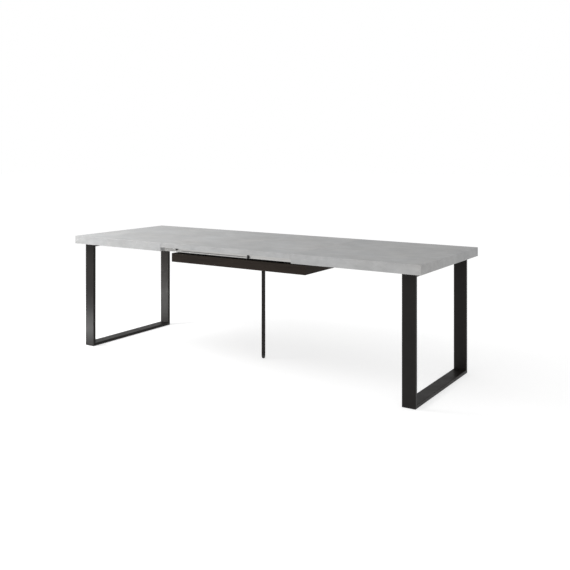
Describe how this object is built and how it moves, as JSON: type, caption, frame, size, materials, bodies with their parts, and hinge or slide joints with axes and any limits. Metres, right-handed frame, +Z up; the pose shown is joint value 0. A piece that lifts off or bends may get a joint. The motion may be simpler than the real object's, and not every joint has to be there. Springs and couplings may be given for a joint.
{
  "type": "extendable dining table",
  "caption": "Long dining table with concrete-look sliding top halves, drop-in leaves, flat steel leg frames, telescopic slides, a leaf storage box and a folding centre leg.",
  "frame": {"origin": "on the floor under the middle of the extended table", "axes": "+X along the table's length to the right, +Y from the front to the rear, +Z up"},
  "size_m": [2.6, 0.9, 0.775],
  "materials": {
    "concrete_laminate": "matt concrete-look laminate on particle board",
    "black_laminate": "matt black-brown laminate on particle board",
    "coated_steel": "fine-texture black-brown powder coat on steel tube",
    "aluminium": "satin anodised extrusion",
    "zinc_steel": "zinc-plated",
    "black_plastic": "moulded, fine matt",
    "felt": "pressed felt"
  },
  "bodies": {
    "centre_unit": {"box_front": "black_laminate", "box_rear": "black_laminate", "box_left_end": "black_laminate", "box_right_end": "black_laminate", "box_bottom": "black_laminate", "box_hanger_front_left": "coated_steel", "box_hanger_front_right": "coated_steel", "box_hanger_rear_left": "coated_steel", "box_hanger_rear_right": "coated_steel", "front_slide_centre": "aluminium", "rear_slide_centre": "aluminium", "leg_hinge_bracket": "coated_steel", "leg_hinge_pin": "zinc_steel", "leg_magnet": "black_plastic"},
    "left_half": {"left_board": "concrete_laminate", "left_front_edge_strip": "concrete_laminate", "left_rear_edge_strip": "concrete_laminate", "left_end_edge_strip": "concrete_laminate", "left_leg_batten": "black_laminate", "left_leg_front_post": "coated_steel", "left_leg_rear_post": "coated_steel", "left_leg_foot_rail": "coated_steel", "left_leg_top_rail": "coated_steel", "left_leg_front_glide": "felt", "left_leg_rear_glide": "felt", "left_leg_front_bolt": "zinc_steel", "left_leg_rear_bolt": "zinc_steel", "front_slide_outer": "aluminium", "front_slide_outer_cap": "black_plastic", "rear_slide_inner": "aluminium", "rear_slide_inner_cap": "black_plastic"},
    "right_half": {"right_board": "concrete_laminate", "right_front_edge_strip": "concrete_laminate", "right_rear_edge_strip": "concrete_laminate", "right_end_edge_strip": "concrete_laminate", "right_leg_batten": "black_laminate", "right_leg_front_post": "coated_steel", "right_leg_rear_post": "coated_steel", "right_leg_foot_rail": "coated_steel", "right_leg_top_rail": "coated_steel", "right_leg_front_glide": "felt", "right_leg_rear_glide": "felt", "right_leg_front_bolt": "zinc_steel", "right_leg_rear_bolt": "zinc_steel", "rear_slide_outer": "aluminium", "rear_slide_outer_cap": "black_plastic", "front_slide_inner": "aluminium", "front_slide_inner_cap": "black_plastic"},
    "left_leaf": {"left_leaf": "concrete_laminate", "left_leaf_front_pin": "zinc_steel", "left_leaf_rear_pin": "zinc_steel"},
    "right_leaf": {"right_leaf": "concrete_laminate", "right_leaf_front_pin": "zinc_steel", "right_leaf_rear_pin": "zinc_steel"},
    "centre_leg": {"centre_leg": "coated_steel", "centre_leg_foot": "black_plastic"},
    "front_lock_knob": {"front_lock_knob": "black_plastic"},
    "rear_lock_knob": {"rear_lock_knob": "black_plastic"}
  },
  "joints": [
    {"name": "left_half_slide", "type": "slide", "parent": "centre_unit", "child": "left_half", "axis": [-1, 0, 0], "range_m": [0, 0.03]},
    {"name": "right_half_slide", "type": "slide", "parent": "centre_unit", "child": "right_half", "axis": [1, 0, 0], "range_m": [0, 0.03]},
    {"name": "left_leaf_lift", "type": "slide", "parent": "centre_unit", "child": "left_leaf", "axis": [0, 0, 1], "range_m": [0, 0.35]},
    {"name": "right_leaf_lift", "type": "slide", "parent": "centre_unit", "child": "right_leaf", "axis": [0, 0, 1], "range_m": [0, 0.35]},
    {"name": "centre_leg_fold", "type": "hinge", "parent": "centre_unit", "child": "centre_leg", "pos_m": [0, 0, 0.617], "axis": [0, -1, 0], "range_deg": [0, 90]},
    {"name": "front_lock_pull", "type": "slide", "parent": "left_half", "child": "front_lock_knob", "axis": [0, -1, 0], "range_m": [0, 0.004], "stiffness_N_per_m": 1500, "springref_m": -0.002},
    {"name": "rear_lock_pull", "type": "slide", "parent": "right_half", "child": "rear_lock_knob", "axis": [0, 1, 0], "range_m": [0, 0.004], "stiffness_N_per_m": 1500, "springref_m": -0.002}
  ]
}
